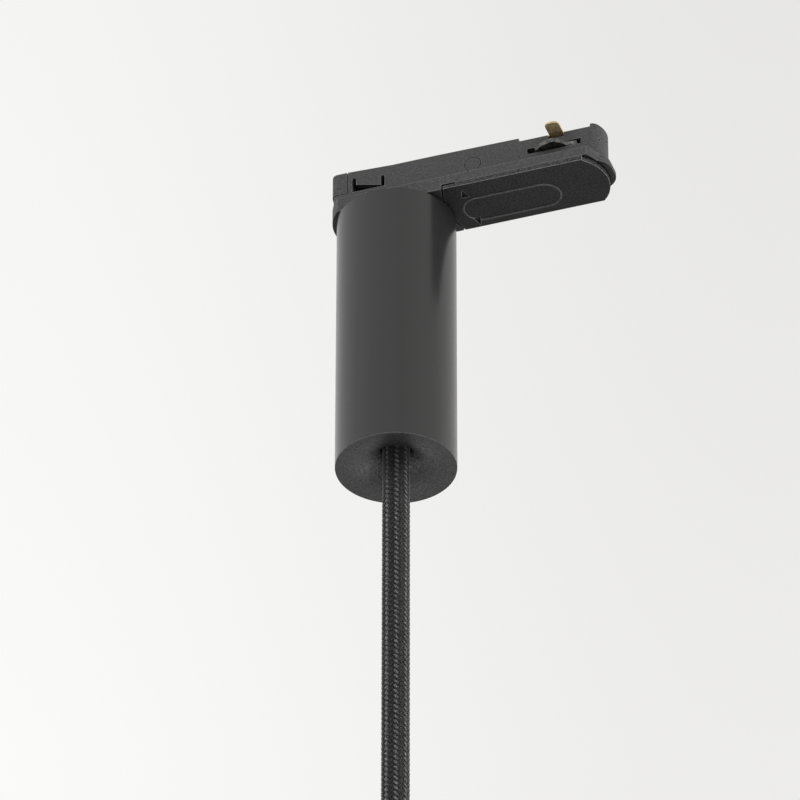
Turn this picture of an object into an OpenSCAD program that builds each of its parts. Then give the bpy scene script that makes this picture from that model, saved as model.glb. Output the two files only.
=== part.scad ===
// Track adapter with a turning lever, a cable canister and a pendant cable.
// Millimetres. The origin is on the canister axis, in the plane where the flange meets the track.
// X runs along the adapter towards the lever, Z is up.

/* [Flange] */
// Width of the flange that bears on the lips of the track
flange_w = 26.8; // [25:0.1:30]
// Height of the flange, from its underside up to the track seat
flange_h = 6; // [5:0.1:8]
// Distance from the canister axis to the closed end of the flange
flange_back = 24.6; // [23:0.1:30]
// Plan radius of the flange's closed end
flange_back_r = 19; // [16:0.5:40]
// Plan radius of the flange's lever end
flange_front_r = 24; // [18:0.5:40]
// Distance from the lever pivot to the tip of the flange's nose
nose_reach = 20.2; // [18:0.1:24]
// Width of the nose
nose_w = 18.5; // [14:0.5:22]
// Corner radius of the nose in plan
nose_r = 7.5; // [2:0.5:9]
// Thickness of the nose's lip, below the step on its upper side
nose_lip = 1.6; // [1:0.1:2.5]
// Distance by which the nose steps back above its lip
nose_step = 0.8; // [0.4:0.1:1.5]

/* [Upper body] */
// Width of the upper body that enters the track
body_w = 15.2; // [14.8:0.1:18]
// Height of the upper body above the track seat
body_h = 14.9; // [14.3:0.1:18]
// Distance from the canister axis to the closed end of the upper body
body_back = 24; // [23.5:0.1:29]
// Distance from the lever pivot to the lever end of the upper body
body_front = 17.7; // [16:0.1:22]
// Plan radius of the upper body's closed end
body_back_r = 26; // [12:0.5:60]
// Plan radius of the upper body's lever end
body_front_r = 12.5; // [12:0.5:40]
// Plan radius of the upper body's four upright corners
body_corner_r = 2.8; // [1:0.1:3.2]
// Height by which the closed end stands above the rest of the upper body
end_rise = 1.3; // [0.6:0.1:2]
// Height by which the side walls stand above the cover
wall_rise = 0.5; // [0.2:0.1:0.9]
// Thickness of the side walls
wall = 2.1; // [2:0.1:3]
// Rim of the side walls beside the cover
cover_rim = 1.6; // [1.2:0.1:2]
// Height of the trough's floor above the track seat
floor_h = 1.5; // [1:0.1:3]
// Distance from the canister axis to the trough's closed end
trough_back = 15.4; // [14:0.1:16]
// Depth of the top recess in which the contacts turn, and of the cover
recess_h = 1.25; // [1.1:0.05:2]
// Length of the recess from the pivot towards the canister
recess_back = 14.7; // [14.3:0.1:18]
// Radius of the recess around the pivot at the lever end
recess_r = 15.5; // [14.3:0.1:15.8]

/* [Spring finger] */
// Distance from the canister axis to the window's outer end
window_back = 15.3; // [12:0.1:15.3]
// Length of the window
window_len = 13.1; // [10:0.1:16]
// Height of the window's lower edge above the track seat
window_low = 6.4; // [4:0.1:7]
// Width of the upright slits beside the finger
slit_w = 1.6; // [1:0.1:2]
// Height of the outer slit above the window's lower edge
slit_h_back = 5.7; // [4:0.1:6]
// Height of the inner slit above the window's lower edge
slit_h_front = 4.3; // [3:0.1:6]
// Gap under the finger at its outer end
finger_gap_back = 3.7; // [1:0.1:4.2]
// Gap under the finger at its inner end
finger_gap_front = 0.3; // [0.2:0.1:3]

/* [End cap] */
// Length of the end cap along the body
cap_len = 6.7; // [5:0.1:7.5]
// Height of the end cap
cap_h = 8.4; // [6:0.1:9]
// Distance by which the end cap stands out beyond the body
cap_out = 0.4; // [0:0.1:0.4]
// Open joint around the end cap
cap_joint = 0.35; // [0.2:0.05:0.6]
// Radius of the end cap's locating peg
cap_peg_r = 1.5; // [1:0.1:2]
// Length of the end cap's locating peg
cap_peg_h = 3.5; // [2:0.1:4]

/* [Lever] */
// Distance from the canister axis to the lever pivot
pivot_x = 66; // [60:0.5:75]
// Distance from the pivot to the lever's tip
lever_r = 45; // [36:0.5:45.5]
// Distance from the pivot to the lever's short end
lever_front = 17.8; // [15:0.1:19]
// Plan radius of the lever's short end
lever_front_r = 17.8; // [17.5:0.1:40]
// Sideways place of the short end's tip
lever_skew = 0.6; // [-2:0.1:3]
// Plan radius of the short end's far corner
lever_corner_r = 1; // [0.5:0.5:9]
// Thickness of the lever plate
lever_h = 2.1; // [1.8:0.1:2.6]
// Clearance between the lever and the flange above it
lever_gap = 0.1; // [0.1:0.05:0.4]
// Gap between the lever's tip and the fixed flange
tip_gap = 0.6; // [0.3:0.05:0.8]
// Length of the fingernail notch on the lever's tip
notch_len = 7; // [3:0.1:8]
// Depth of the fingernail notch
notch_h = 0.7; // [0.4:0.1:1]
// Length of the raised oval rim under the lever
oval_len = 38.7; // [30:0.1:40]
// Width of the raised oval rim
oval_w = 14; // [10:0.1:15]
// Sideways offset of the raised oval rim
oval_y = 2.7; // [-3:0.1:3]
// Line width of the raised oval rim
oval_line = 0.6; // [0.4:0.1:1]
// Height of the raised oval rim
oval_rise = 0.35; // [0.15:0.05:0.4]

/* [Rotor] */
// Radius of the rotor's bore in the body
rotor_bore_r = 5; // [4.8:0.1:5.2]
// Running clearance of the rotor in its bore
rotor_gap = 0.05; // [0.02:0.01:0.1]
// Side of the square that turns the wing and the rotor
square_w = 5.6; // [5:0.1:6]
// Radius of the locking wing at its two points
wing_r = 11.5; // [10.5:0.1:11.8]
// Distance from the pivot to the low end of a wing's ramp, along the body
wing_ramp = 8.2; // [7:0.1:8.4]
// Half the depth of the wing at the low end of a ramp
wing_ramp_y = 8; // [7:0.1:8.2]
// Distance from the pivot to the foot of a wing's steep flank, along the body
wing_flank = 4.5; // [4.2:0.1:6]
// Half the depth of the wing behind a steep flank
wing_flank_y = 7.6; // [6:0.1:7.8]
// Thickness of the locking wing
wing_h = 1.9; // [1.5:0.1:2]
// Height of the wing slot's lower edge above the track seat
slot_low = 6.65; // [6:0.05:7]
// Clearance above and below the wing in its slot
wing_gap = 0.3; // [0.2:0.05:0.4]
// Length of the wing slot from the pivot towards the canister
slot_back = 11.4; // [10.8:0.1:12]
// Length of the wing slot from the pivot towards the lever end
slot_front = 9.9; // [9:0.1:10.6]

/* [Contacts] */
// Width of a contact tongue
tongue_w = 5.5; // [4:0.1:6.5]
// Distance from the pivot to a tongue's tip
tongue_reach = 13.8; // [12:0.1:14.2]
// Corner radius of a tongue's tip
tongue_r = 1.9; // [0.5:0.1:1.9]
// Width of the notch in the side wall under a tongue
tongue_notch_w = 6.4; // [6:0.1:7]
// Depth of the notch in the side wall under a tongue
tongue_notch_h = 2; // [0.5:0.1:2.2]
// Thickness of the contacts
contact_t = 0.8; // [0.6:0.1:0.9]
// Radius of the contacts' feeding plates
plate_r = 7.2; // [6.8:0.1:7.3]
// Clearance under the contacts
contact_gap = 0.3; // [0.15:0.05:0.4]
// Thickness of the clamp that holds the contacts
clamp_h = 0.6; // [0.4:0.1:1]
// Thickness of the leaf springs
spring_t = 0.4; // [0.3:0.05:0.5]
// Width of the leaf springs
spring_w = 2.4; // [2:0.1:2.6]
// Sideways place of the leaf springs
spring_y = 3.5; // [3.4:0.1:3.6]
// Radius of the rotor screw
screw_r = 1.3; // [1:0.1:1.4]
// Radius of the rotor screw's head
screw_head_r = 2.6; // [2.3:0.1:2.7]

/* [Canister] */
// Outside diameter of the canister
can_d = 45.2; // [43.5:0.1:60]
// Height of the canister
can_h = 112.8; // [105:0.1:118]
// Wall of the canister
can_wall = 1.6; // [1.2:0.1:2]
// Gap between the flange and the canister's top rim
can_gap = 1.3; // [0.4:0.05:2]
// Width of the drawn-in lip on the canister's lower rim
lip_w = 0.1; // [0.1:0.05:0.6]
// Height of the drawn-in lip
lip_h = 0.5; // [0.3:0.1:1.5]
// Depth of the bell mouth
bell_h = 10; // [7:0.5:12]
// Wall of the bell mouth
bell_wall = 2.4; // [2:0.1:3]
// Height of the cord grip's seat above the throat's lower end
seat_h = 2.7; // [2:0.1:4]

/* [Hub and nipple] */
// Outside radius of the threaded nipple
nipple_r = 5; // [4.8:0.1:5]
// Radius of the nipple's hole
nipple_hole_r = 3.8; // [3.5:0.1:4]
// Length of nipple below the flange
nipple_drop = 18; // [15:0.5:22]
// Thickness of the mounting hub
hub_h = 6; // [5:0.1:8]
// Radius of the hub's seat against the flange
hub_seat_r = 12.5; // [10:0.5:13.5]
// Width across the flats of the hexagon nut
nut_af = 14; // [13:0.5:14.5]
// Height of the hexagon nut
nut_h = 4; // [3:0.1:5]
// Thickness of the lock washer
washer_h = 0.8; // [0.5:0.1:1.2]
// Radius of the lock washer
washer_r = 8; // [7:0.1:8.2]

/* [Terminals] */
// Length of the terminal block
block_len = 15; // [14:0.1:16]
// Depth of the terminal block
block_d = 8.5; // [8.4:0.1:9]
// Height of the terminal block
block_h = 12; // [11:0.1:14]
// Distance between the two poles
pole_pitch = 9; // [8.5:0.1:9.5]
// Radius of a terminal screw
terminal_r = 1.7; // [1.4:0.1:1.9]
// Radius of the terminal block's fixing screw
block_screw_r = 1.4; // [1.2:0.1:1.5]

/* [Cable] */
// Diameter of the braided cable
cable_d = 10.4; // [8:0.1:11]
// Clearance of the cable in the cord grip and the end fitting
cable_gap = 0.25; // [0.2:0.05:0.4]
// Clearance of the cable in the canister's throat
throat_gap = 0.6; // [0.6:0.1:2]
// Diameter of the cores and leads
core_d = 2; // [1.6:0.1:2.2]
// Radius of the end fitting
fitting_r = 7; // [6.8:0.1:9]
// Height of the end fitting's barrel
fitting_h = 22; // [16:0.5:30]
// Radius of the end fitting's threaded stud
stud_r = 5; // [4:0.1:5.5]
// Length of the end fitting's threaded stud
stud_h = 8; // [6:0.5:12]

/* [Hidden] */
$fn = 72;

// Clearance between pieces that are fixed to each other
fit = 0.1;
// Clearance of a screwed or turned fit, on the radius
thread_fit = 0.05;
// Overlap of a cut past the face that it opens
past = 1;

// Ledge that carries the cover's inner end
cover_ledge = 0.8;
// Places along the body where the closed end starts to rise and where the walls level out
rise_x = 1;
level_x = 20;
// Depth by which the lever's square enters the rotor
square_grip = 2.2;
// Clearance around the turning wing in its pocket
pocket_gap = 0.4;
// Reach of a wing's blunt point to both sides of the pivot
point_back = 1;
point_front = 0.6;
// Place where a wing's ramp bows outwards
ramp_bow = 5.3;
ramp_bow_y = 10.2;
// Draft of the wing's side behind a steep flank
wing_draft = 0.5;
// Overlap of the clamp on the contacts, and wall of the rotor's boss under it
clamp_lap = 0.2;
boss_wall = 0.8;
// Gap between a leaf spring's end and the rotor's bore
spring_end_gap = 0.4;
// Room under the end cap's peg
peg_room = 0.5;
// Distance from the pivot to the near end of the oval rim
oval_end = 1.4;

recess_z = body_h - recess_h;
front_x = pivot_x + body_front;
cover_back_x = -trough_back - fit;
cover_front_x = pivot_x - recess_back;
trough_front_x = cover_front_x - cover_ledge;
trough_w = body_w - 2 * wall;
cover_w = body_w - 2 * cover_rim;
cap_x = -body_back + cap_len;
cap_z = body_h - cap_h;
cap_peg_x = (cap_x - body_back) / 2;
lever_top = lever_h - flange_h;
shelf_z = lever_top + lever_gap;
slot_h = wing_h + 2 * wing_gap;
wing_z = slot_low + wing_gap;
rotor_r = rotor_bore_r - rotor_gap;
square_top = wing_z + wing_h + square_grip;
contact_z = recess_z + contact_gap;
clamp_z = contact_z + contact_t;
clamp_top = clamp_z + clamp_h;
clamp_r = rotor_r + clamp_lap;
boss_r = screw_head_r + boss_wall;
head_h = screw_head_r - screw_r;
screw_len = 12.5;
groove_z = recess_z - 2 * spring_t;
groove_w = spring_w + 2 * fit;
spring_tip_x = pivot_x - rotor_bore_r - spring_end_gap;
spring_len = 16.5;
mark_x = 33;
mark_z = 7.6;
mark_r = 3.4;
mark_line = 0.35;
arrow_x = 29.5;
arrow_tip = 11.3;
arrow_base = 6.5;
arrow_y = 0.9;
arrow_w = 2.9;
arrow_deep = 0.9;
end_mark_r = 0.55;
end_mark_deep = 0.8;
end_marks = [[-5.3, 8.1], [-0.2, 10.5]];

can_r = can_d / 2;
can_inner_r = can_r - can_wall;
can_top = -flange_h - can_gap;
can_bottom = can_top - can_h;
bell_rim_r = can_r - lip_w;
throat_r = cable_d / 2 + throat_gap;
throat_z = can_bottom + bell_h;
seat_z = throat_z + seat_h;
seat_w = 3.5;
seat_r = throat_r + seat_w;
hub_r = can_inner_r - thread_fit;
hub_z = can_top - hub_h;
washer_z = hub_z - washer_h;
nut_z = washer_z - nut_h;
nut_r = nut_af / 2 / cos(30);
block_gap = 0.9;
block_y = washer_r + block_gap;
block_z = hub_z - block_h;
block_screw_y = block_y + block_d / 2;
lead_row = 3;
wire_row = 6.4;
pole_lead_y = block_y + lead_row;
pole_wire_y = block_y + wire_row;
core_gap = 0.2;
pole_hole_r = core_d / 2 + core_gap;
pole_hole_h = 3.6;
terminal_deep = 4;
terminal_sunk = 0.6;
terminal_y = block_y + terminal_deep;
terminal_above = 1;
terminal_z = block_z + block_h / 2 + terminal_above;
terminal_len = block_d - terminal_deep - terminal_sunk;
block_head_r = 2 * block_screw_r;
block_head_h = 1.6;
block_head_sunk = 0.4;
block_screw_bite = 2.6;
block_screw_room = 1.4;
screw_slot_w = 0.6;
screw_slot_deep = 0.7;
grip_bore_r = cable_d / 2 + cable_gap;
grip_lap = 2.5;
grip_flange_r = seat_r + grip_lap;
grip_flange_h = 3;
grip_wall = 2.6;
grip_body_r = grip_bore_r + grip_wall;
grip_body_h = 9;
grip_nut_z = seat_z + grip_flange_h + fit;
grip_nut_roof = 2;
grip_nut_h = grip_body_h + grip_nut_roof;
grip_nut_wall = 2.25;
grip_nut_af = 2 * (grip_body_r + grip_nut_wall);

plastic = [0.17, 0.17, 0.18];
lever_plastic = [0.13, 0.13, 0.14];
satin_black = [0.2, 0.2, 0.21];
steel = [0.6, 0.6, 0.62];
brass = [0.72, 0.56, 0.25];
nylon = [0.85, 0.84, 0.8];
braid = [0.1, 0.1, 0.1];

// Route of the pendant cable, from its stripped end down into the end fitting
cable_route = [[0, 0, -88], [0, 0, -100], [0, 0, -110], [0, 0, -130], [0, 0, -155],
    [0, 0, -180], [0, 0, -205], [0, 0, -230], [0, 0, -255], [0, 0, -278]];
fitting_top = -272;

// Routes of the two leads, from a leaf spring down the nipple and up into the terminal block
line_lead_route = [[50, -3.5, 11.3], [40, -3.4, 11.3], [28, -3, 11.2], [16, -2.5, 10], [8, -2, 7],
    [2.4, -1.6, 2], [1.6, -1.5, -4], [1.5, -1.5, -14], [1.5, -1.5, -25], [2, 0.5, -31],
    [3, 4.5, -34], [4, 9, -33], [4.5, 11.5, -29], [4.5, 11.9, -22]];
neutral_lead_route = [[50, 3.5, 11.3], [40, 3.4, 11.3], [28, 3, 11.2], [16, 2.5, 10], [7, 2, 7],
    [1, 1.6, 2], [-1.2, 1.5, -4], [-1.5, 1.5, -14], [-1.5, 1.5, -25], [-2, 2.5, -31],
    [-3, 5.5, -34], [-4, 9.2, -33], [-4.5, 11.5, -29], [-4.5, 11.9, -22]];

// Routes of the cable's two cores, from the stripped end up into the terminal block
line_wire_route = [[1.6, 0, -87.9], [1.6, 0, -80], [2, 2, -66], [3, 8, -52], [4, 13.5, -40],
    [4.5, 15.3, -30], [4.5, 15.3, -22]];
neutral_wire_route = [for (p = line_wire_route) [-p[0], p[1], p[2]]];

// Points along a smooth curve through a route, with a number of steps in each span
function between(a, b, c, d, t) = 0.5 * (2 * b + (c - a) * t + (2 * a - 5 * b + 4 * c - d) * t * t
    + (3 * b - a - 3 * c + d) * t * t * t);
function smooth(route, steps) = let (last = len(route) - 1) concat(
    [for (i = [0 : last - 1], s = [0 : steps - 1])
        between(route[max(i - 1, 0)], route[i], route[i + 1], route[min(i + 2, last)], s / steps)],
    [route[last]]);

// Direction of a line of points at one of them
function heading(line, i) = let (
    a = line[max(i - 1, 0)],
    b = line[min(i + 1, len(line) - 1)]) (b - a) / norm(b - a);

// Ring of points around a line of points
function ring(line, i, r, sides) = let (
    t = heading(line, i),
    across = cross(t, [1, 1, 0]),
    u = across / norm(across),
    v = cross(t, u)) [for (k = [0 : sides - 1])
        line[i] + r * (cos(360 * k / sides) * u + sin(360 * k / sides) * v)];

module tube(line, r, sides) {
    count = len(line);
    points = [for (i = [0 : count - 1]) each ring(line, i, r, sides)];
    side_faces = [for (i = [0 : count - 2], k = [0 : sides - 1])
        let (a = i * sides + k, b = i * sides + (k + 1) % sides)
        each [[a, b, b + sides], [a, b + sides, a + sides]]];
    first_end = [for (k = [sides - 1 : -1 : 0]) k];
    last_end = [for (k = [0 : sides - 1]) (count - 1) * sides + k];
    polyhedron(points, concat([first_end], side_faces, [last_end]));
}

// Straight strip whose two ends bow outwards in plan
module bowed_plan(x_back, x_front, w, r_back, r_front) {
    intersection() {
        translate([x_back, -w / 2]) square([x_front - x_back, w]);
        union() {
            translate([x_back + r_back, 0]) circle(r_back);
            translate([x_front - r_front, 0]) circle(r_front);
            translate([x_back + r_back, -w / 2]) square([x_front - r_front - x_back - r_back, w]);
        }
    }
}

// Rectangle centred on the X axis with rounded corners
module rounded_plan(x_back, x_front, w, r) {
    translate([x_back + r, -w / 2]) square([x_front - x_back - 2 * r, w]);
    translate([x_back, r - w / 2]) square([x_front - x_back, w - 2 * r]);
    for (x = [x_back + r, x_front - r], y = [r - w / 2, w / 2 - r]) {
        translate([x, y]) circle(r);
    }
}

// Oval with straight sides and round ends
module oval_plan(len_out, w) {
    square([len_out - w, w], center = true);
    for (s = [-1, 1]) translate([s * (len_out - w) / 2, 0]) circle(w / 2);
}

// Slab over a plan outline between two heights
module slab(z_low, z_high) {
    translate([0, 0, z_low]) linear_extrude(z_high - z_low) children();
}

// Box on the X axis between two places along it and two heights
module centred_box(x_back, x_front, w, z_low, z_high) {
    translate([x_back, -w / 2, z_low]) cube([x_front - x_back, w, z_high - z_low]);
}

// Place along X where a strip's straight sides meet the round corners of a bowed end
function side_end(x_tip, side, w, r_end, r) = x_tip - side * r_end
    + side * sqrt((r_end - r) * (r_end - r) - (w / 2 - r) * (w / 2 - r));

// Bowed end of a strip with two round corners, towards one side of X
module soft_end(x_tip, side, w, r_end, r) {
    corner_x = side_end(x_tip, side, w, r_end, r);
    corner_y = w / 2 - r;
    bow_y = corner_y * r_end / (r_end - r);
    low_x = min(corner_x - side * r, x_tip);
    high_x = max(corner_x - side * r, x_tip);
    intersection() {
        translate([x_tip - side * r_end, 0]) circle(r_end);
        translate([low_x, -bow_y]) square([high_x - low_x, 2 * bow_y]);
    }
    for (y = [-corner_y, corner_y]) translate([corner_x, y]) circle(r);
}

// Plan of the upper body, its closed end moved outwards by a distance
module body_plan(out) {
    soft_end(-body_back - out, -1, body_w, body_back_r, body_corner_r);
    soft_end(front_x, 1, body_w, body_front_r, body_corner_r);
    x_back = side_end(-body_back - out, -1, body_w, body_back_r, body_corner_r);
    x_front = side_end(front_x, 1, body_w, body_front_r, body_corner_r);
    translate([x_back, -body_w / 2]) square([x_front - x_back, body_w]);
}

// Plan of the lever: round tip about the pivot, bowed short end and a round far corner
module lever_plan() {
    w = flange_w;
    bow_x = pivot_x + lever_front - lever_front_r;
    far_y = w / 2 - lever_corner_r;
    reach = lever_front_r - lever_corner_r;
    far_x = bow_x + sqrt(reach * reach - (far_y - lever_skew) * (far_y - lever_skew));
    intersection() {
        translate([pivot_x, 0]) circle(lever_r, $fn = 144);
        translate([0, -w / 2]) square([far_x, w]);
    }
    intersection() {
        translate([bow_x, lever_skew]) circle(lever_front_r);
        union() {
            translate([pivot_x, -w / 2]) square([2 * lever_front, w / 2 + far_y]);
            translate([far_x, far_y]) circle(lever_corner_r);
        }
    }
}

// Window whose upright slits leave a spring finger hanging in the wall
module finger_window() {
    x_back = -window_back;
    x_front = window_len - window_back;
    translate([0, -trough_w / 2 + past / 2, 0]) rotate([90, 0, 0]) linear_extrude(wall + past) {
        polygon([[x_back, window_low], [x_front, window_low], [x_front, window_low + finger_gap_front],
            [x_back, window_low + finger_gap_back]]);
        for (slit = [[x_back, slit_h_back], [x_front - slit_w, slit_h_front]]) {
            translate([slit[0], window_low]) square([slit_w, slit[1]]);
            translate([slit[0] + slit_w / 2, window_low + slit[1]]) circle(slit_w / 2);
        }
    }
}

// Round moulding mark on the near wall
module wall_mark() {
    translate([mark_x, mark_line - body_w / 2, mark_z]) rotate([90, 0, 0]) difference() {
        cylinder(r = mark_r, h = past);
        translate([0, 0, -past]) cylinder(r = mark_r - mark_line, h = 3 * past);
    }
}

// Slope of the side walls, up towards the closed end
module raised_end() {
    low = body_h - past;
    high = body_h + end_rise;
    intersection() {
        slab(low, high) body_plan(0);
        rotate([90, 0, 0]) linear_extrude(body_w, center = true) {
            polygon([[front_x, low], [front_x - body_front, body_h], [level_x, body_h + wall_rise],
                [rise_x, body_h + wall_rise], [cap_x, high], [-body_back, high], [-body_back, low]]);
        }
    }
}

// Top recess in which the contacts turn, round at the lever end
module recess_plan() {
    w = body_w + past;
    translate([cover_front_x, -w / 2]) square([recess_back, w]);
    intersection() {
        translate([pivot_x, 0]) circle(recess_r);
        translate([pivot_x - past, -w / 2]) square([recess_r + past, w]);
    }
}

// Small sunk mould marks on the face at the lever end
module end_face_marks() {
    function face_x(y) = front_x - body_front_r + sqrt(body_front_r * body_front_r - y * y);
    for (m = end_marks) translate([face_x(m[0]) - end_mark_deep, m[0], m[1]]) rotate([0, 90, 0]) {
        cylinder(r = end_mark_r, h = end_mark_deep + past);
    }
}

module adapter_body() {
    color(plastic) difference() {
        union() {
            slab(-flange_h, 0) difference() {
                bowed_plan(-flange_back, pivot_x, flange_w, flange_back_r, flange_front_r);
                translate([pivot_x, 0]) circle(lever_r + tip_gap, $fn = 144);
            }
            slab(shelf_z, 0) {
                bowed_plan(-flange_back, pivot_x + lever_front, flange_w, flange_back_r, flange_front_r);
                rounded_plan(pivot_x, pivot_x + nose_reach - nose_step, nose_w, nose_r);
            }
            slab(shelf_z, shelf_z + nose_lip) {
                rounded_plan(pivot_x, pivot_x + nose_reach, nose_w, nose_r);
            }
            slab(-flange_h / 2, body_h) body_plan(0);
            raised_end();
        }
        centred_box(-body_back - past, cap_x + cap_joint, body_w + past, cap_z - cap_joint,
            body_h + end_rise + past);
        translate([cap_peg_x, 0, cap_z - cap_peg_h - peg_room]) {
            cylinder(r = cap_peg_r + fit, h = cap_peg_h + peg_room + past);
        }
        slab(recess_z, body_h + past) recess_plan();
        centred_box(pivot_x - tongue_notch_w / 2, pivot_x + tongue_notch_w / 2, body_w + past,
            recess_z - tongue_notch_h, body_h);
        centred_box(-trough_back, trough_front_x, trough_w, floor_h, body_h + end_rise + past);
        centred_box(cover_back_x, cover_front_x + past, cover_w, recess_z, body_h + end_rise + past);
        finger_window();
        wall_mark();
        end_face_marks();
        centred_box(pivot_x - slot_back, pivot_x + slot_front, body_w + past, slot_low, slot_low + slot_h);
        translate([pivot_x, 0, slot_low]) cylinder(r = wing_r + pocket_gap, h = slot_h);
        translate([pivot_x, 0, shelf_z - past]) cylinder(r = rotor_bore_r, h = body_h + flange_h);
        for (s = [-1, 1]) translate([0, s * spring_y, 0]) {
            centred_box(trough_front_x - past, spring_tip_x + fit, groove_w, groove_z, body_h);
        }
        translate([0, 0, -flange_h - past]) {
            cylinder(r = nipple_r + thread_fit, h = flange_h + floor_h + 2 * past);
        }
    }
}

module body_cover() {
    w = cover_w - 2 * fit;
    color(plastic) centred_box(cover_back_x + fit, cover_front_x - fit, w, recess_z, body_h);
}

module end_cap() {
    line_h = 0.2;
    color(plastic) {
        difference() {
            intersection() {
                slab(cap_z, body_h + end_rise) body_plan(cap_out);
                centred_box(-body_back - past, cap_x, body_w + past, cap_z - past, body_h + 2 * past);
            }
            for (share = [1, 2]) difference() {
                translate([0, 0, cap_z + share * cap_h / 3]) {
                    centred_box(-body_back - past, cap_x + past, body_w + past, 0, line_h);
                }
                centred_box(line_h - body_back - cap_out, cap_x + past, body_w - 2 * line_h, cap_z, body_h);
            }
        }
        translate([cap_peg_x, 0, cap_z - cap_peg_h]) cylinder(r = cap_peg_r, h = cap_peg_h);
    }
}

// Triangle that points to one side of the lever
module arrow_mark(side) {
    translate([0, 0, -flange_h - past]) linear_extrude(past + arrow_deep) {
        base_y = arrow_y + side * arrow_base;
        polygon([[arrow_x, arrow_y + side * arrow_tip], [arrow_x - arrow_w / 2, base_y],
            [arrow_x + arrow_w / 2, base_y]]);
    }
}

module lever() {
    tip_x = pivot_x - lever_r;
    oval_x = pivot_x - oval_end - oval_len / 2;
    mid_z = lever_top - lever_h / 2;
    color(lever_plastic) difference() {
        union() {
            slab(-flange_h, lever_top) lever_plan();
            slab(-flange_h - oval_rise, mid_z) translate([oval_x, oval_y]) difference() {
                oval_plan(oval_len, oval_w);
                oval_plan(oval_len - 2 * oval_line, oval_w - 2 * oval_line);
            }
            translate([pivot_x, 0, -flange_h]) cylinder(r = rotor_r, h = wing_z + flange_h);
            centred_box(pivot_x - square_w / 2, pivot_x + square_w / 2, square_w, 0, square_top);
        }
        centred_box(tip_x - past, tip_x + notch_len, flange_w + past, lever_top - notch_h,
            lever_top + past);
        for (side = [-1, 1]) arrow_mark(side);
        translate([pivot_x, 0, 0]) cylinder(r = screw_r + thread_fit, h = body_h);
    }
}

// One half of the wing's outline: long ramp, blunt point and steep flank
wing_edge = [[-wing_ramp, -wing_ramp_y], [-ramp_bow, -ramp_bow_y], [-point_back, -wing_r],
    [point_front, -wing_r], [wing_flank, -wing_flank_y], [wing_ramp, wing_draft - wing_flank_y]];

module locking_wing() {
    color(steel) translate([pivot_x, 0, wing_z]) difference() {
        linear_extrude(wing_h) intersection() {
            circle(wing_r);
            polygon(concat(wing_edge, -wing_edge));
        }
        centred_box(-square_w / 2 - fit, square_w / 2 + fit, square_w + 2 * fit, -past, wing_h + past);
    }
}

// Cone under the head of the rotor screw
module screw_cone(gap) {
    translate([pivot_x, 0, clamp_top - head_h]) {
        cylinder(r1 = screw_r + gap, r2 = screw_head_r + gap, h = head_h);
    }
}

module rotor() {
    low = wing_z + wing_h;
    color(nylon) difference() {
        union() {
            translate([pivot_x, 0, low]) cylinder(r = rotor_r, h = contact_z - low);
            translate([pivot_x, 0, contact_z - past]) cylinder(r = boss_r, h = contact_t + past);
        }
        centred_box(pivot_x - square_w / 2 - fit, pivot_x + square_w / 2 + fit, square_w + 2 * fit,
            low - past, square_top + fit);
        translate([pivot_x, 0, low]) cylinder(r = screw_r + thread_fit, h = body_h);
        screw_cone(thread_fit);
    }
}

// Feeding plate and tongue of one contact, pointing to one side
module contact(side) {
    split = 0.8;
    color(brass) translate([pivot_x, 0, contact_z]) rotate(90 * side) linear_extrude(contact_t) {
        difference() {
            union() {
                intersection() {
                    circle(plate_r);
                    translate([split, -plate_r]) square(2 * plate_r);
                }
                rounded_plan(boss_r, tongue_reach, tongue_w, tongue_r);
            }
            circle(boss_r + fit);
        }
    }
}

module line_contact() { contact(-1); }

module neutral_contact() { contact(1); }

module contact_clamp() {
    color(nylon) difference() {
        translate([pivot_x, 0, clamp_z]) cylinder(r = clamp_r, h = clamp_h);
        translate([pivot_x, 0, clamp_z - past]) cylinder(r = screw_r + thread_fit, h = 3 * past);
        screw_cone(thread_fit);
    }
}

module rotor_screw() {
    slot_w = 0.7;
    slot_deep = 0.6;
    top = clamp_top;
    color(steel) difference() {
        union() {
            screw_cone(0);
            translate([pivot_x, 0, top - screw_len]) cylinder(r = screw_r, h = screw_len - head_h / 2);
        }
        centred_box(pivot_x - screw_head_r, pivot_x + screw_head_r, slot_w, top - slot_deep, top + past);
    }
}

// Leaf spring in its groove, with the raised point that feeds a contact
module leaf_spring(side) {
    point_r = 0.6;
    color(brass) translate([0, side * spring_y, 0]) {
        centred_box(spring_tip_x - spring_len, spring_tip_x, spring_w, groove_z, groove_z + spring_t);
        translate([spring_tip_x - point_r, 0, groove_z]) {
            cylinder(r = point_r, h = contact_z - fit - groove_z);
        }
    }
}

module line_spring() { leaf_spring(-1); }

module neutral_spring() { leaf_spring(1); }

module line_lead() {
    color("saddlebrown") tube(smooth(line_lead_route, 2), core_d / 2, 8);
}

module neutral_lead() {
    color("royalblue") tube(smooth(neutral_lead_route, 2), core_d / 2, 8);
}

module threaded_nipple() {
    low = -flange_h - nipple_drop;
    color(brass) translate([0, 0, low]) difference() {
        cylinder(r = nipple_r, h = floor_h - low);
        translate([0, 0, -past]) cylinder(r = nipple_hole_r, h = floor_h - low + 2 * past);
    }
}

module mounting_hub() {
    color(satin_black) difference() {
        union() {
            translate([0, 0, hub_z]) cylinder(r = hub_r, h = hub_h);
            translate([0, 0, can_top - past]) cylinder(r = hub_seat_r, h = can_gap + past);
        }
        translate([0, 0, hub_z - past]) cylinder(r = nipple_r + fit, h = hub_h + can_gap + 2 * past);
        translate([0, block_screw_y, hub_z - past]) {
            cylinder(r = block_screw_r + thread_fit, h = block_screw_bite + block_screw_room + past);
        }
    }
}

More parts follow.
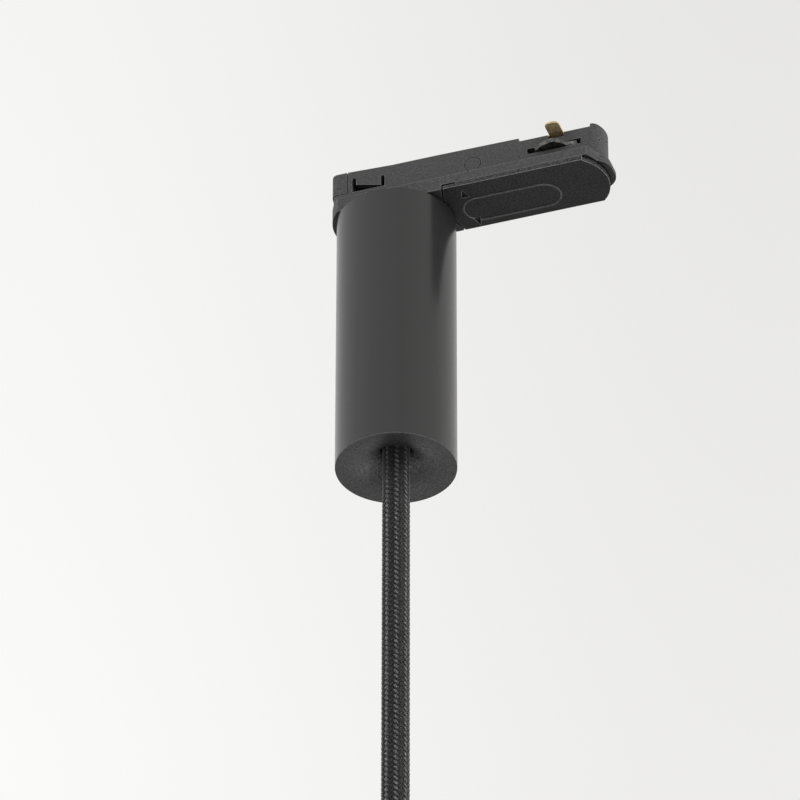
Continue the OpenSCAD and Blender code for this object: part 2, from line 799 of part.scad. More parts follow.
module lock_washer() {
    color(steel) translate([0, 0, washer_z]) difference() {
        cylinder(r = washer_r, h = washer_h);
        translate([0, 0, -past]) cylinder(r = nipple_r + fit, h = washer_h + 2 * past);
    }
}

module hex_nut() {
    color(steel) translate([0, 0, nut_z]) difference() {
        cylinder(r = nut_r, h = nut_h, $fn = 6);
        translate([0, 0, -past]) cylinder(r = nipple_r + thread_fit, h = nut_h + 2 * past);
    }
}

// Half section of the canister: tube, rim, bell mouth, throat and the grip's seat
module canister_section() {
    steps = 14;
    bell_w = bell_rim_r - throat_r;
    bell = [for (i = [0 : steps]) let (a = 90 - 90 * i / steps)
        [bell_rim_r - bell_w * cos(a), throat_z - bell_h * sin(a)]];
    inner = [for (i = [0 : 2 : steps]) let (a = 90 * i / steps)
        [can_inner_r - (can_inner_r - seat_r) * cos(a), throat_z + bell_wall - bell_h * sin(a)]];
    polygon(concat([[can_r, can_top], [can_r, can_bottom + lip_h]], bell,
        [[throat_r, seat_z], [seat_r, seat_z]], inner, [[can_inner_r, can_top]]));
}

module canister() {
    color(satin_black) rotate_extrude($fn = 96) canister_section();
}

module terminal_block() {
    color(nylon) difference() {
        translate([-block_len / 2, block_y, block_z]) cube([block_len, block_d, block_h]);
        for (x = [-pole_pitch / 2, pole_pitch / 2]) {
            for (y = [pole_lead_y, pole_wire_y]) {
                translate([x, y, block_z - past]) cylinder(r = pole_hole_r, h = pole_hole_h + past);
            }
            translate([x, terminal_y, terminal_z]) rotate([-90, 0, 0]) {
                cylinder(r = terminal_r + fit, h = block_d);
            }
        }
        translate([0, block_screw_y, block_z - past]) {
            cylinder(r = block_screw_r + fit, h = block_h + 2 * past);
            cylinder(r = block_head_r + fit, h = block_head_sunk + block_head_h + past);
        }
    }
}

module terminal_screws() {
    color(steel) for (x = [-pole_pitch / 2, pole_pitch / 2]) {
        translate([x, terminal_y, terminal_z]) rotate([-90, 0, 0]) difference() {
            cylinder(r = terminal_r, h = terminal_len);
            centred_box(-2 * terminal_r, 2 * terminal_r, screw_slot_w, terminal_len - screw_slot_deep,
                terminal_len + past);
        }
    }
}

module block_screw() {
    color(steel) translate([0, block_screw_y, block_z + block_head_sunk]) difference() {
        union() {
            cylinder(r = block_head_r, h = block_head_h);
            cylinder(r = block_screw_r, h = block_h - block_head_sunk + block_screw_bite);
        }
        centred_box(-2 * block_head_r, 2 * block_head_r, screw_slot_w, -past, screw_slot_deep);
    }
}

module cord_grip() {
    color(nylon) translate([0, 0, seat_z]) difference() {
        union() {
            cylinder(r = grip_flange_r, h = grip_flange_h);
            cylinder(r = grip_body_r, h = grip_flange_h + grip_body_h);
        }
        translate([0, 0, -past]) cylinder(r = grip_bore_r, h = grip_flange_h + grip_body_h + 2 * past);
    }
}

module grip_nut() {
    color(nylon) translate([0, 0, grip_nut_z]) difference() {
        cylinder(r = grip_nut_af / 2 / cos(30), h = grip_nut_h, $fn = 6);
        translate([0, 0, -past]) cylinder(r = grip_bore_r, h = grip_nut_h + 2 * past);
        translate([0, 0, -past]) cylinder(r = grip_body_r + fit, h = grip_body_h + past);
    }
}

module line_wire() {
    color("saddlebrown") tube(smooth(line_wire_route, 2), core_d / 2, 8);
}

module neutral_wire() {
    color("royalblue") tube(smooth(neutral_wire_route, 2), core_d / 2, 8);
}

module cable() {
    color(braid) tube(cable_route, cable_d / 2, 12);
}

// Barrel that clamps the cable's lower end, with a threaded stud for the lamp
module end_fitting() {
    bore_h = 7;
    taper = 3;
    mouth_wall = 0.5;
    stud_bevel = 0.6;
    barrel_bevel = 0.4;
    barrel_low = fitting_top - fitting_h;
    stud_low = barrel_low - stud_h;
    mouth_r = cable_d / 2 + cable_gap;
    color(satin_black) rotate_extrude() {
        polygon([[0, stud_low], [stud_r - stud_bevel, stud_low], [stud_r, stud_low + stud_bevel],
            [stud_r, barrel_low], [fitting_r - barrel_bevel, barrel_low],
            [fitting_r, barrel_low + barrel_bevel], [fitting_r, fitting_top - taper],
            [mouth_r + mouth_wall, fitting_top], [mouth_r, fitting_top],
            [mouth_r, fitting_top - bore_h], [0, fitting_top - bore_h]]);
    }
}

adapter_body();
body_cover();
end_cap();
lever();
rotor();
locking_wing();
line_contact();
neutral_contact();
contact_clamp();
rotor_screw();
line_spring();
neutral_spring();
line_lead();
neutral_lead();
threaded_nipple();
mounting_hub();
lock_washer();
hex_nut();
canister();
terminal_block();
terminal_screws();
block_screw();
cord_grip();
grip_nut();
line_wire();
neutral_wire();
cable();
end_fitting();
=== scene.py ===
"""Lighting track adapter with a turning lever, a cable canister and a braided pendant cable."""

import math

import bpy
import numpy as np
from mathutils import Matrix, Vector


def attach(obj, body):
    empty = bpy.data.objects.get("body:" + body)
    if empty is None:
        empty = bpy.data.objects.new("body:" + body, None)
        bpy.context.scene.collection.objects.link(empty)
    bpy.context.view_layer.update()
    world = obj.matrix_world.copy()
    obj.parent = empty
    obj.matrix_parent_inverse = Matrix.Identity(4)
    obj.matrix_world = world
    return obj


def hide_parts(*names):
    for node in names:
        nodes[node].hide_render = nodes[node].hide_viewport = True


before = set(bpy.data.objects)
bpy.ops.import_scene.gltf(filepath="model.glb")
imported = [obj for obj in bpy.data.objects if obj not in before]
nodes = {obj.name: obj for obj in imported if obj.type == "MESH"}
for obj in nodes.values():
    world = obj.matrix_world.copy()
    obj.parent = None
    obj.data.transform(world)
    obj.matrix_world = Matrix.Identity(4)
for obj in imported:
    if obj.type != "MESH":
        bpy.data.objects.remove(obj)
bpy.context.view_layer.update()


# Housing: the long moulding with the track flange, its lid and its end cap.
# Injection-moulded black nylon with a fine eroded grain, corners slightly broken by the mould.
# The lid snaps over the wiring trough and the end cap sits on a peg.

mm = 0.001
housing_edge = 0.18 * mm
mould_grain = 0.85 * mm
grain_strength = 0.5
handled_patch = 9 * mm
arris_r = 0.35 * mm
crevice_reach = 0.9 * mm
crevice_drop = 10
# Roughness that handling takes off
polish = 0.12
# Upwardness of a face that looks down, and of a flank
looks_down = -0.9
looks_aside = -0.5


def place(tree, kind, inputs=None, **settings):
    """Adds a shader node, with its settings and with values or links on its inputs."""
    made = tree.nodes.new("ShaderNode" + kind)
    for name, value in settings.items():
        setattr(made, name, value)
    for name, value in (inputs or {}).items():
        if isinstance(value, bpy.types.NodeSocket):
            tree.links.new(value, made.inputs[name])
        else:
            made.inputs[name].default_value = value
    return made


def calculate(tree, operation, *values):
    """One step of arithmetic on numbers or links."""
    return place(tree, "Math", dict(enumerate(values)), operation=operation).outputs[0]


def spread(tree, value, start=0.0, end=1.0, low=0.0, high=1.0, **settings):
    """Carries a value that runs from start to end over to a run from low to high, held at both ends."""
    limits = {"Value": value, "From Min": start, "From Max": end, "To Min": low, "To Max": high}
    return place(tree, "MapRange", limits, **settings).outputs[0]


def between(tree, factor, first, second, mode="MIX"):
    """A colour between two others. A colour mix takes them on sockets 6 and 7 and gives it on 2."""
    colours = {"Factor": factor, 6: first, 7: second}
    return place(tree, "Mix", colours, data_type="RGBA", blend_type=mode).outputs[2]


def noise(tree, where, size, detail, roughness):
    """Noise over a surface, from the size of its features in metres."""
    per_metre = calculate(tree, "DIVIDE", 1.0, size)
    pattern = {"Vector": where, "Scale": per_metre, "Detail": detail, "Roughness": roughness}
    return place(tree, "TexNoise", pattern).outputs["Fac"]


def relief(tree, height, strength, depth):
    """A normal that follows a height, from its strength and its depth in metres."""
    return place(tree, "Bump", {"Height": height, "Strength": strength, "Distance": depth}).outputs[0]


def upwardness(tree):
    """How far a face looks up: 1 is straight up, 0 is sideways and -1 is straight down."""
    normal = place(tree, "NewGeometry").outputs["Normal"]
    return place(tree, "SeparateXYZ", {0: normal}).outputs["Z"]


def effect(name, inputs, outputs):
    """Starts a shader group with named number inputs and number outputs."""
    group = bpy.data.node_groups.new(name, "ShaderNodeTree")
    for label, value in inputs.items():
        socket = group.interface.new_socket(label, in_out="INPUT", socket_type="NodeSocketFloat")
        socket.default_value = value
    for label in outputs:
        group.interface.new_socket(label, in_out="OUTPUT", socket_type="NodeSocketFloat")
    return group, group.nodes.new("NodeGroupInput"), group.nodes.new("NodeGroupOutput")


def use(tree, group, **inputs):
    """Places a shader group in a material with its own values."""
    made = tree.nodes.new("ShaderNodeGroup")
    made.node_tree = group
    for name, value in inputs.items():
        made.inputs[name.capitalize()].default_value = value
    return made


def material(name, sockets):
    """A new material with constant values on its Principled shader's own sockets."""
    made = bpy.data.materials.new(name)
    made.use_nodes = True
    shader = made.node_tree.nodes["Principled BSDF"]
    for label, value in sockets.items():
        shader.inputs[label].default_value = value
    return made, made.node_tree, shader


def feed(tree, shader, colour, roughness, normal=None):
    """Links what changes over the surface to the shader."""
    tree.links.new(colour, shader.inputs["Base Color"])
    tree.links.new(roughness, shader.inputs["Roughness"])
    if normal is not None:
        tree.links.new(normal, shader.inputs["Normal"])


def grey(level):
    """A neutral colour from its linear level."""
    return (level, level, level, 1.0)


# Fine eroded grain of a mould, as a height and a speckle
grain, grain_in, grain_out = effect("moulded_grain", {"Size": mould_grain}, ["Height", "Speckle"])
where = place(grain, "TexCoord").outputs["Object"]
pits = noise(grain, where, grain_in.outputs["Size"], detail=2.0, roughness=0.6)
grain.links.new(pits, grain_out.inputs["Height"])
grain.links.new(spread(grain, pits, start=0.34, end=0.66), grain_out.inputs["Speckle"])

# Broad uneven patches left by handling, as a mask
handling, handling_in, handling_out = effect("handling", {"Size": handled_patch}, ["Mask"])
where = place(handling, "TexCoord").outputs["Object"]
cloud = noise(handling, where, handling_in.outputs["Size"], detail=5.0, roughness=0.6)
handling.links.new(spread(handling, cloud, start=0.35, end=0.7), handling_out.inputs["Mask"])

# Arrises, as a mask from the turn of the surface within a radius. The plastics paint them lighter, as rubbed
# wear and a painted highlight; the satin coat paints them darker, as painted shade.
edge_wear_and_light, edge_wear_and_light_in, edge_wear_and_light_out = effect("edge_wear_and_painted_light", {"Radius": arris_r}, ["Mask"])
rounded = place(edge_wear_and_light, "Bevel", {"Radius": edge_wear_and_light_in.outputs["Radius"]}, samples=6).outputs[0]
true_normal = place(edge_wear_and_light, "NewGeometry").outputs["True Normal"]
alike = place(edge_wear_and_light, "VectorMath", {0: rounded, 1: true_normal}, operation="DOT_PRODUCT").outputs["Value"]
edge_wear_and_light.links.new(spread(edge_wear_and_light, alike, start=0.995, end=0.9), edge_wear_and_light_out.inputs["Mask"])

# Shade that gathers in grooves and joints, as a mask from the closeness of other surfaces
crevice, crevice_in, crevice_out = effect("crevice", {"Reach": crevice_reach}, ["Mask"])
reach = crevice_in.outputs["Reach"]
openness = place(crevice, "AmbientOcclusion", {"Distance": reach}, samples=8).outputs["AO"]
crevice.links.new(spread(crevice, openness, start=0.88, end=0.55), crevice_out.inputs["Mask"])


def moulded_plastic(name, dark, light, edge, shine, roughness, grain_depth, painted_flank_light):
    """Black moulded plastic: eroded grain, edges painted lighter as rubbed wear and a painted highlight,
    painted shade in crevices, and flanks painted lighter than faces that look down, as painted light.
    """
    made, tree, shader = material(name, {"Specular IOR Level": shine})
    pitting = use(tree, grain, size=mould_grain)
    patches = use(tree, handling, size=handled_patch)
    worn_and_lit_edges = use(tree, edge_wear_and_light, radius=arris_r)
    shaded = use(tree, crevice, reach=crevice_reach)
    # Painted light: faces that look sideways or up are painted lighter than faces that look down.
    lift = spread(tree, upwardness(tree), looks_down, looks_aside, low=1.0, high=painted_flank_light)
    face = between(tree, pitting.outputs["Speckle"], grey(dark), grey(light))
    body = between(tree, 1.0, face, lift, mode="MULTIPLY")
    # Painted highlight and rubbed wear: arrises are painted lighter.
    edged = between(tree, worn_and_lit_edges.outputs["Mask"], body, grey(edge))
    # Painted shade: grooves and joints are painted darker.
    colour = between(tree, shaded.outputs["Mask"], edged, grey(dark / crevice_drop))
    gloss = spread(tree, patches.outputs["Mask"], low=roughness, high=roughness - polish)
    feed(tree, shader, colour, gloss, relief(tree, pitting.outputs["Height"], grain_strength, grain_depth))
    return made


def dress(name, finish):
    """Gives a node's surface one finish."""
    finishes = nodes[name].data.materials
    finishes.clear()
    finishes.append(finish)


def break_edges(name, width):
    """Rounds a node's sharp edges by a small width and shades it as one moulding."""
    piece = nodes[name]
    weld = piece.modifiers.new("weld", "WELD")
    weld.merge_threshold = 0.001 * mm
    flats = piece.modifiers.new("flats", "DECIMATE")
    flats.decimate_type = "DISSOLVE"
    flats.angle_limit = math.radians(0.3)
    edges = piece.modifiers.new("edges", "BEVEL")
    edges.width = width
    edges.segments = 2
    edges.limit_method = "ANGLE"
    edges.angle_limit = math.radians(35)
    shade = piece.modifiers.new("shade", "WEIGHTED_NORMAL")
    shade.weight = 90


black_plastic = moulded_plastic("black_plastic", dark=0.021, light=0.035, edge=0.16, shine=0.12,
                                roughness=0.6, grain_depth=0.04 * mm, painted_flank_light=2.0)
for name in ("adapter_body", "body_cover", "end_cap"):
    dress(name, black_plastic)
    break_edges(name, housing_edge)


# Lever: flat moulded plate under the flange with the square that turns the lock.
# The same nylon, a little darker, with a raised oval rim, two sunk arrows and a nail notch.
# It is drawn against the housing by the rotor screw.

lever_edge = 0.16 * mm
lever_plastic = moulded_plastic("lever_plastic", dark=0.009, light=0.026, edge=0.3, shine=0.1,
                                roughness=0.56, grain_depth=0.06 * mm, painted_flank_light=2.2)
dress("lever", lever_plastic)
break_edges("lever", lever_edge)


# Rotor and contact clamp: the drum that turns in the housing's bore, and the disc on top of it.
# Both are moulded in the housing's black nylon.
# The rotor sits on the lever's square, and the rotor screw holds the clamp down on it.

for name in ("rotor", "contact_clamp"):
    dress(name, black_plastic)


# Locking wing: the bowed plate in the side slots, which the lever turns over the lips of the track.
# Stamped from bare steel, dull and stained dark, with the fine lines of rolled sheet.
# It is clamped on the lever's square between the lever's hub and the rotor.

stamped_edge = 0.12 * mm
sheet_grain = 0.2 * mm
sheet_stretch = (0.08, 1.0, 1.0)
sheet_depth = 0.02 * mm
sheet_strength = 0.25
# Roughness below and above the metal's own, across its lines
line_bright = 0.08
line_dull = 0.12

# Fine lines of rolled or drawn metal, as a height
rolled, rolled_in, rolled_out = effect("rolled_metal", {"Size": sheet_grain}, ["Height"])
where = place(rolled, "TexCoord").outputs["Object"]
drawn = place(rolled, "Mapping", {"Vector": where, "Scale": sheet_stretch}).outputs[0]
lines = noise(rolled, drawn, rolled_in.outputs["Size"], detail=4.0, roughness=0.5)
rolled.links.new(lines, rolled_out.inputs["Height"])


def bare_metal(name, colour, stain, roughness, stain_size):
    """Bare sheet or bar metal with rolling lines and uneven tarnish."""
    made, tree, shader = material(name, {"Metallic": 1.0})
    sheet = use(tree, rolled, size=sheet_grain).outputs["Height"]
    patches = use(tree, handling, size=stain_size)
    tone = between(tree, patches.outputs["Mask"], colour, stain)
    gloss = spread(tree, sheet, low=roughness - line_bright, high=roughness + line_dull)
    feed(tree, shader, tone, gloss, relief(tree, sheet, sheet_strength, sheet_depth))
    return made


wing_steel = bare_metal("wing_steel", colour=(0.25, 0.25, 0.24, 1), stain=(0.03, 0.03, 0.029, 1),
                        roughness=0.5, stain_size=1.7 * mm)
dress("locking_wing", wing_steel)
break_edges("locking_wing", stamped_edge)


# Contacts and leaf springs: the two tongues that reach into the track, and the springs that feed them.
# Stamped from brass sheet and browned by handling.
# The clamp holds the tongues on the rotor, and the springs lie in grooves of the housing.

contact_brass = bare_metal("contact_brass", colour=(0.95, 0.79, 0.46, 1), stain=(0.6, 0.47, 0.27, 1),
                           roughness=0.68, stain_size=1.4 * mm)
for name in ("line_contact", "neutral_contact"):
    dress(name, contact_brass)
    break_edges(name, stamped_edge)
for name in ("line_spring", "neutral_spring"):
    dress(name, contact_brass)


# Fasteners: the rotor screw, the hollow nipple with its washer and nut, and the terminal block's screws.
# Turned or stamped from steel and zinc plated.
# The nipple, washer and nut clamp the canister's hub under the flange.

zinc_steel = bare_metal("zinc_steel", colour=(0.55, 0.56, 0.58, 1), stain=(0.38, 0.39, 0.42, 1),
                        roughness=0.35, stain_size=3 * mm)
for name in ("rotor_screw", "threaded_nipple", "lock_washer", "hex_nut", "terminal_screws", "block_screw"):
    dress(name, zinc_steel)


# Canister: round shell with a bell mouth, screwed on the hub under the flange.
# Spun aluminium under a satin black powder coat, smooth outside and coarser inside the bell mouth.
# The hub and the fitting at the cable's end have the same coat.

peel_size = 0.9 * mm
peel_depth = 0.12 * mm
peel_strength = 0.9
coat_patch = 30 * mm
coat_polish = 0.05
coat_arris_r = 0.3 * mm
# Share of the peel's height that is left outside the bell mouth
smooth_share = 0.13
# Upwardness at which the bell mouth begins, and is full
bell_start = -0.1
bell_full = -0.4
# Roughness of the bell mouth's pits and of the tops between them
pit_roughness = 0.51
top_roughness = 0.29
# How many times lighter the throat is painted, as painted light, how many times darker the pits are, and how
# many times darker the edges are painted, as painted shade
throat_painted_light = 8
pit_drop = 4
edge_painted_shade = 3


def satin_coat(name, level, roughness):
    """Satin powder coat: faint orange peel, a coarse mottle on faces that look down, as in the bell, steeper
    faces there painted lighter towards the throat as painted light, and edges painted darker as painted
    shade.
    """
    made, tree, shader = material(name, {"Specular IOR Level": 0.43})
    peel = use(tree, grain, size=peel_size)
    patches = use(tree, handling, size=coat_patch)
    worn_and_lit_edges = use(tree, edge_wear_and_light, radius=coat_arris_r)
    upward = upwardness(tree)
    inside = spread(tree, upward, bell_start, bell_full)
    throat = spread(tree, upward, looks_down, looks_aside)
    # Painted light: steeper faces of the bell mouth, towards the throat, are painted lighter.
    light = between(tree, throat, grey(level), grey(level * throat_painted_light))
    mottle = between(tree, peel.outputs["Speckle"], grey(level / pit_drop), light)
    coat = between(tree, inside, grey(level), mottle)
    # Painted shade: edges are painted darker than the coat.
    colour = between(tree, worn_and_lit_edges.outputs["Mask"], coat, grey(level / edge_painted_shade))
    rough = spread(tree, peel.outputs["Speckle"], low=pit_roughness, high=top_roughness)
    own_roughness = place(tree, "Mix", {"Factor": inside, 2: roughness, 3: rough}).outputs[0]
    gloss = calculate(tree, "MULTIPLY_ADD", patches.outputs["Mask"], coat_polish, own_roughness)
    coarse = spread(tree, inside, low=smooth_share, high=1.0)
    pitted = calculate(tree, "MULTIPLY", peel.outputs["Height"], coarse)
    feed(tree, shader, colour, gloss, relief(tree, pitted, peel_strength, peel_depth))
    return made


satin_black = satin_coat("satin_black", level=0.021, roughness=0.22)
for name in ("canister", "mounting_hub", "end_fitting"):
    dress(name, satin_black)


# Terminal block and cord grip: they join the wires inside the canister and hold the cable.
# Moulded in natural white nylon with a fine grain.
# The block is screwed under the hub, and the grip and its nut sit on the canister's floor.

nylon_grain = 0.4 * mm
nylon_dull = (0.68, 0.67, 0.62, 1)
nylon_pale = (0.78, 0.77, 0.73, 1)
nylon, nylon_tree, nylon_shader = material("white_nylon", {"Specular IOR Level": 0.45})
nylon_pits = use(nylon_tree, grain, size=nylon_grain).outputs["Speckle"]
nylon_tone = between(nylon_tree, nylon_pits, nylon_dull, nylon_pale)
feed(nylon_tree, nylon_shader, nylon_tone, spread(nylon_tree, nylon_pits, low=0.4, high=0.55))
for name in ("terminal_block", "cord_grip", "grip_nut"):
    dress(name, nylon)


# Leads and cores: the wires from the leaf springs to the terminal block, and from there to the cable.
# Stranded wire in extruded insulation, brown for the line and blue for the neutral.
# Their ends are held in the terminal block.

wire_patch = 2.5 * mm


def insulation(name, colour, shade):
    """Extruded insulation with a faintly uneven surface."""
    made, tree, shader = material(name, {"Specular IOR Level": 0.5})
    patches = use(tree, handling, size=wire_patch).outputs["Mask"]
    feed(tree, shader, between(tree, patches, colour, shade), spread(tree, patches, low=0.34, high=0.46))
    return made


brown_insulation = insulation("brown_insulation", colour=(0.12, 0.045, 0.02, 1),
                              shade=(0.09, 0.035, 0.016, 1))
blue_insulation = insulation("blue_insulation", colour=(0.03, 0.10, 0.36, 1),
                             shade=(0.024, 0.08, 0.29, 1))
for name in ("line_lead", "line_wire"):
    dress(name, brown_insulation)
for name in ("neutral_lead", "neutral_wire"):
    dress(name, blue_insulation)


# Pendant cable: two cores in a round sheath under a black textile braid.
# Sixteen flat yarns run each way round it, each of three ends laid side by side, over two and under two.
# The cord grip clamps it inside the canister and the end fitting closes its lower end.

cable_d = 10.4 * mm
cable_route = [(0, 0, -88), (0, 0, -100), (0, 0, -110), (0, 0, -130), (0, 0, -155),
               (0, 0, -180), (0, 0, -205), (0, 0, -230), (0, 0, -255), (0, 0, -278)]
cable_path = [tuple(x * mm for x in point) for point in cable_route]
cable_top = cable_path[0][2]
cable_len = cable_top - cable_path[-1][2]
yarns = 16
ends = 3
lay = 34.5 * mm
rise = 0.3 * mm
yarn_t = 0.5 * mm
yarn_r = cable_d / 2 - rise - yarn_t / 2
steps_per_wave = 7
# Angle of a column in which the yarns that run the first way lie on top
first_column = math.radians(-68)
# Distance of the first yarn's upper end from that column, in yarn pitches
first_yarn = 0.25
# Shares of a yarn: the pitch that it fills, the height of the dip between two ends, half its flat underside
yarn_cover = 0.97
furrow = 0.45
foot = 0.3
# Painted highlights on the crests: how sharply they end along a yarn, how they fade across it, their share
# on the counter yarns
crest_sharpness = 1.5
crest_fade = 1.6
counter_highlight = 0.15


def yarn(start, side):
    """Rings of points of one yarn, its crowned section carried along its helix, and how much painted
    highlight each point takes.
    """
    wave = 2 * lay / yarns
    count = int(cable_len / wave * steps_per_wave)
    slope = math.atan2(2 * math.pi * yarn_r, lay)
    width = yarn_cover * 2 * math.pi * yarn_r / yarns * math.cos(slope)
    section = [(-0.5, 0.0)]
    for end in range(ends):
        left = -0.5 + end / ends
        section.append((left + 0.5 / ends, 1.0))
        section.append((left + 1.0 / ends, furrow if end < ends - 1 else 0.0))
    section += [(foot, -0.5), (-foot, -0.5)]
    down = np.linspace(0, cable_len, count)
    angle = start + side * 2 * math.pi * down / lay
    height = side * rise * np.cos(yarns / 2 * (angle - first_column))
    rings = []
    for across, lift in section:
        around = angle + side * across * width * math.cos(slope) / yarn_r
        along = down - across * width * math.sin(slope)
        radius = yarn_r + height + (lift - 0.5) * yarn_t
        rings.append(np.stack([radius * np.cos(around), radius * np.sin(around),
                               cable_top - np.clip(along, 0, cable_len)], axis=1))
    on_top = np.clip(height / rise, 0, 1) ** crest_sharpness
    highlight_share = np.outer(on_top, [max(lift, 0) * (1 - crest_fade * abs(across)) for across, lift in section])
    return np.stack(rings, axis=1), highlight_share


points = []
faces = []
crest_highlights = []
for side in (1, -1):
    for index in range(yarns):
        rings, highlight_share = yarn(first_column + 2 * math.pi * (index + first_yarn) / yarns, side)
        base = sum(len(p) for p in points)
        count, size = rings.shape[:2]
        points.append(rings.reshape(-1, 3))
        crest_highlights += (highlight_share if side > 0 else counter_highlight * highlight_share).ravel().tolist()
        for k in range(count - 1):
            for s in range(size):
                a = base + k * size + s
                b = base + k * size + (s + 1) % size
                quad = (a, b, b + size, a + size)
                faces.append(quad if side > 0 else quad[::-1])
        first = tuple(range(base, base + size))
        last = tuple(range(base + (count - 1) * size, base + count * size))
        faces.append(first[::-1] if side > 0 else first)
        faces.append(last if side > 0 else last[::-1])
braid_mesh = bpy.data.meshes.new("braided_cable")
braid_mesh.from_pydata(np.concatenate(points).tolist(), [], faces)
braid_mesh.attributes.new("crest_highlight", "FLOAT", "POINT").data.foreach_set("value", crest_highlights)
braid_mesh.polygons.foreach_set("use_smooth", [True] * len(braid_mesh.polygons))
braid = bpy.data.objects.new("braided_cable", braid_mesh)
bpy.context.scene.collection.objects.link(braid)

fibre_size = 0.6 * mm
fibre_depth = 0.05 * mm
fibre_strength = 0.5
fibre_gap = grey(0.002)
yarn_black = grey(0.014)
painted_crest_highlight = grey(0.35)
textile, textile_tree, textile_shader = material("black_braid", {
    "Specular IOR Level": 0.25, "Sheen Weight": 0.25, "Sheen Roughness": 0.4})
fibre = use(textile_tree, grain, size=fibre_size)
fibre_height = fibre.outputs["Height"]
crest_highlight = place(textile_tree, "Attribute", attribute_name="crest_highlight").outputs["Fac"]
# Painted highlight: the tops of the floats are painted pale.
highlit_yarn_tone = between(textile_tree, crest_highlight, yarn_black, painted_crest_highlight)
yarn_tone = between(textile_tree, fibre.outputs["Speckle"], fibre_gap, highlit_yarn_tone)
yarn_gloss = spread(textile_tree, fibre_height, low=0.45, high=0.75)
yarn_relief = relief(textile_tree, fibre_height, fibre_strength, fibre_depth)
feed(textile_tree, textile_shader, yarn_tone, yarn_gloss, yarn_relief)
braid_mesh.materials.append(textile)
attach(braid, "adapter")
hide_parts("cable")


# Studio: a pale floor well below the hanging part, and a pale surround that darkens a little to the right.
# Large soft boxes light the part from the left, the right and behind, and small ones from below.
# Only the two small boxes at the rear show in glossy surfaces, as streaks.

part_middle = Vector((0.02, 0, -0.05))


def lamp(name, stand, size, watts, mirrored=False):
    """A square soft box that faces the part, which shows in glossy surfaces only where mirrored."""
    data = bpy.data.lights.new(name, "AREA")
    data.size = size
    data.energy = watts
    made = bpy.data.objects.new(name, data)
    made.location = stand
    made.rotation_euler = (part_middle - Vector(stand)).to_track_quat("-Z", "Y").to_euler()
    made.visible_glossy = mirrored
    bpy.context.scene.collection.objects.link(made)


lamp("left_box", (-1.9, -1.3, 0.9), size=2.2, watts=62)
lamp("right_box", (2.0, -1.0, 0.6), size=2.2, watts=56)
lamp("low_left", (-1.2, -0.15, -0.75), size=0.7, watts=4)
lamp("low_right", (0.75, -0.5, -1.15), size=0.5, watts=2.5)
lamp("back_box", (1.4, 1.9, 1.0), size=1.8, watts=45)
lamp("front_fill", (0.55, -1.55, -1.25), size=0.6, watts=5)
lamp("rear_right", (0.38, 1.14, -1.0), size=0.6, watts=2.2, mirrored=True)
lamp("rear_left", (-0.4, 0.6, -1.42), size=0.5, watts=1.4, mirrored=True)

floor_z = -2.4
floor_half = 12.0
floor_pale = (0.9, 0.9, 0.895, 1)
floor_lift = 0.8
floor_mesh = bpy.data.meshes.new("floor")
corners = [(x * floor_half, y * floor_half, floor_z) for x, y in ((-1, -1), (1, -1), (1, 1), (-1, 1))]
floor_mesh.from_pydata(corners, [], [(0, 1, 2, 3)])
floor = bpy.data.objects.new("floor", floor_mesh)
bpy.context.scene.collection.objects.link(floor)


def seen_ray(tree):
    """1 where a surface is seen straight, in a reflection or through glass, and 0 for the light it gives."""
    path = place(tree, "LightPath").outputs
    either = calculate(tree, "MAXIMUM", path["Is Camera Ray"], path["Is Glossy Ray"])
    return calculate(tree, "MAXIMUM", either, path["Is Transmission Ray"])


pale, pale_tree, pale_shader = material("pale_floor", {"Base Color": grey(0.7), "Roughness": 0.9})
glow = place(pale_tree, "Emission", {"Color": floor_pale, "Strength": 1.0}).outputs[0]
lifted = calculate(pale_tree, "MULTIPLY", seen_ray(pale_tree), floor_lift)
shown_floor = place(pale_tree, "MixShader", {0: lifted, 1: pale_shader.outputs[0], 2: glow}).outputs[0]
pale_tree.links.new(shown_floor, pale_tree.nodes["Material Output"].inputs["Surface"])
floor_mesh.materials.append(pale)

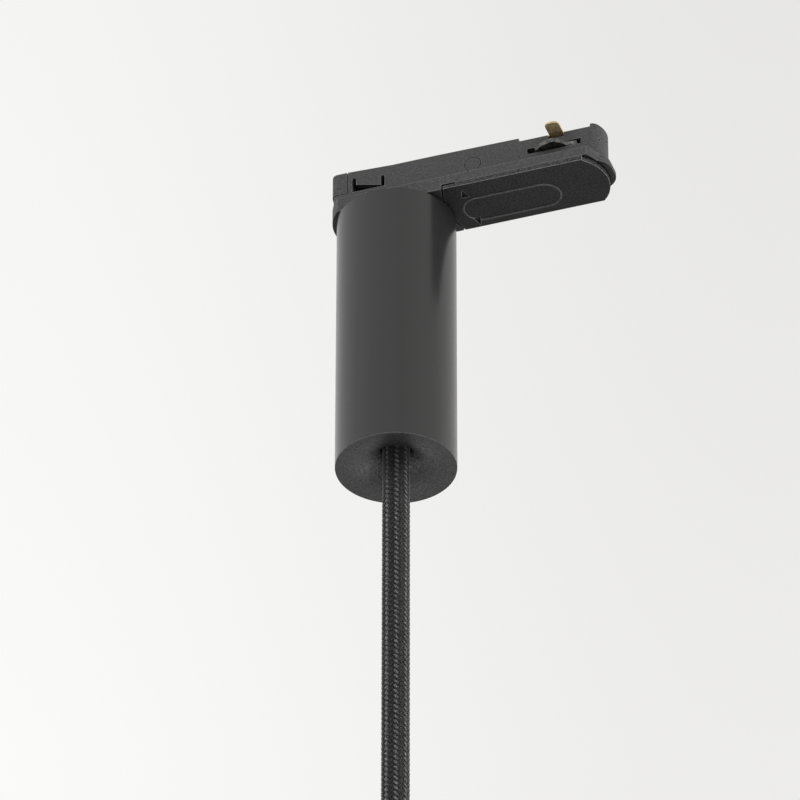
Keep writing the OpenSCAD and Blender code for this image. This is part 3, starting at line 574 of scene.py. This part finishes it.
ambient_light = 0.3
surround_left = (0.934, 0.934, 0.93, 1)
surround_right = (0.822, 0.818, 0.804, 1)
across_view = (0.94, 0.342, 0)
fade_half = 0.065
world = bpy.data.worlds.new("surround")
bpy.context.scene.world = world
world.use_nodes = True
sky = world.node_tree
ambient = sky.nodes["Background"]
ambient.inputs["Color"].default_value = grey(1.0)
ambient.inputs["Strength"].default_value = ambient_light
facing = place(sky, "TexCoord").outputs["Generated"]
sideways = place(sky, "VectorMath", {0: facing, 1: across_view}, operation="DOT_PRODUCT").outputs["Value"]
to_right = spread(sky, sideways, start=-fade_half, end=fade_half, interpolation_type="SMOOTHSTEP")
tint = between(sky, to_right, surround_left, surround_right)
upward = place(sky, "SeparateXYZ", {0: facing}).outputs["Z"]
to_floor = spread(sky, upward, start=0.64, end=0.54, low=0.97, high=1.03)
seen = place(sky, "Background", {"Color": tint, "Strength": to_floor}).outputs[0]
surround = place(sky, "MixShader", {0: seen_ray(sky), 1: ambient.outputs[0], 2: seen}).outputs[0]
sky.links.new(surround, sky.nodes["World Output"].inputs["Surface"])
bpy.context.scene.view_settings.view_transform = "Standard"


# Camera: below the part and to its right, looking up along it with a long lens.
# It stands at a distance from the canister's middle and aims a little beside and below that point.
# Its level is turned by a very small roll.

azimuth = math.radians(19.46)
elevation = math.radians(-36.471)
roll = 0.00231
distance = 2.5
sensor = 36.0
lens = 300.832
sight_end = 50
canister_middle = Vector((0, 0, -0.051))
aim_right = 1.341 * mm
aim_up = -30.847 * mm
level_reach = math.cos(elevation)
back = Vector((math.sin(azimuth) * level_reach, -math.cos(azimuth) * level_reach, math.sin(elevation)))
level_right = Vector((math.cos(azimuth), math.sin(azimuth), 0))
level_up = back.cross(level_right)
right = math.cos(roll) * level_right + math.sin(roll) * level_up
up = math.cos(roll) * level_up - math.sin(roll) * level_right
stand = canister_middle + back * distance
aim = canister_middle + right * aim_right + up * aim_up
look_back = (stand - aim).normalized()
look_right = up.cross(look_back).normalized()
look_up = look_back.cross(look_right)
camera_data = bpy.data.cameras.new("camera")
camera_data.lens = lens
camera_data.sensor_width = sensor
camera_data.clip_end = sight_end
camera = bpy.data.objects.new("camera", camera_data)
turned = Matrix((look_right, look_up, look_back)).transposed().to_4x4()
camera.matrix_world = Matrix.Translation(stand) @ turned
bpy.context.scene.collection.objects.link(camera)
bpy.context.scene.camera = camera
